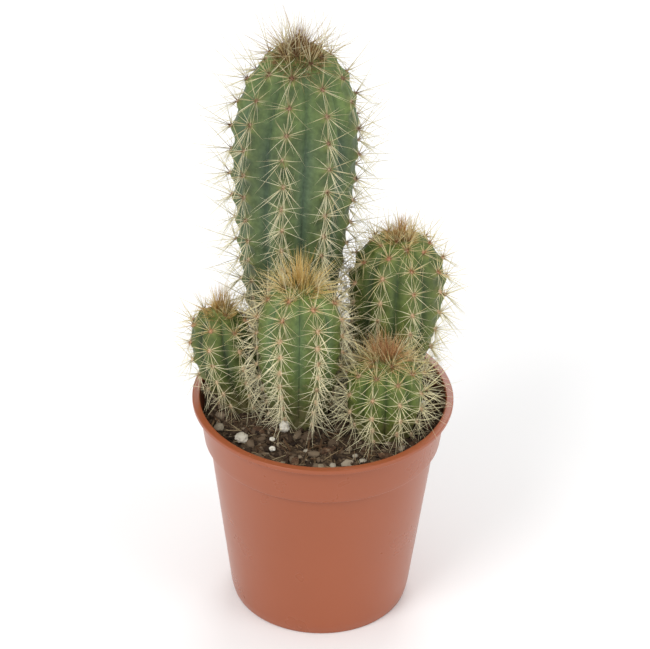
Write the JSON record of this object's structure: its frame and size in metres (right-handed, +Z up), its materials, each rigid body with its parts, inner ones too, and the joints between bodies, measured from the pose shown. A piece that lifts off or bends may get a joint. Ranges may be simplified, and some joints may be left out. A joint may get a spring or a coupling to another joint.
{
  "type": "potted columnar cactus",
  "caption": "Potted tall cactus: a ribbed columnar stem with shorter side stems and bristly crowns, in a round terracotta-coloured nursery pot of dark potting mix.",
  "frame": {"origin": "centre of the pot's flat base", "axes": "+Z up along the pot's axis, -Y the front, where the low stems stand, +X to the right seen from the front"},
  "size_m": [0.1209, 0.1234, 0.2863],
  "materials": {
    "terracotta_plastic": "satin",
    "potting_mix": "matte",
    "tall_skin": "matte",
    "tall_bristles": "matte",
    "front_skin": "matte",
    "front_bristles": "matte",
    "back_right_skin": "matte",
    "back_right_bristles": "matte",
    "front_right_skin": "matte",
    "front_right_bristles": "matte",
    "left_skin": "matte",
    "left_bristles": "matte",
    "perlite": "matte",
    "bark": "matte"
  },
  "bodies": {
    "root": {"pot": "terracotta_plastic", "soil": "potting_mix", "tall_stem": "tall_skin", "tall_crown_spines": "tall_bristles", "front_stem": "front_skin", "front_crown_spines": "front_bristles", "back_right_stem": "back_right_skin", "back_right_crown_spines": "back_right_bristles", "front_right_stem": "front_right_skin", "front_right_crown_spines": "front_right_bristles", "left_stem": "left_skin", "left_crown_spines": "left_bristles", "perlite_1": "perlite", "perlite_2": "perlite", "perlite_3": "perlite", "perlite_4": "perlite", "perlite_5": "perlite", "perlite_6": "perlite", "perlite_7": "perlite", "perlite_8": "perlite", "perlite_9": "perlite", "perlite_10": "perlite", "perlite_11": "perlite", "perlite_12": "perlite", "perlite_13": "perlite", "perlite_14": "perlite", "bark_1": "bark", "bark_2": "bark", "bark_3": "bark", "bark_4": "bark", "bark_5": "bark", "bark_6": "bark", "bark_7": "bark", "bark_8": "bark", "bark_9": "bark"}
  },
  "joints": []
}
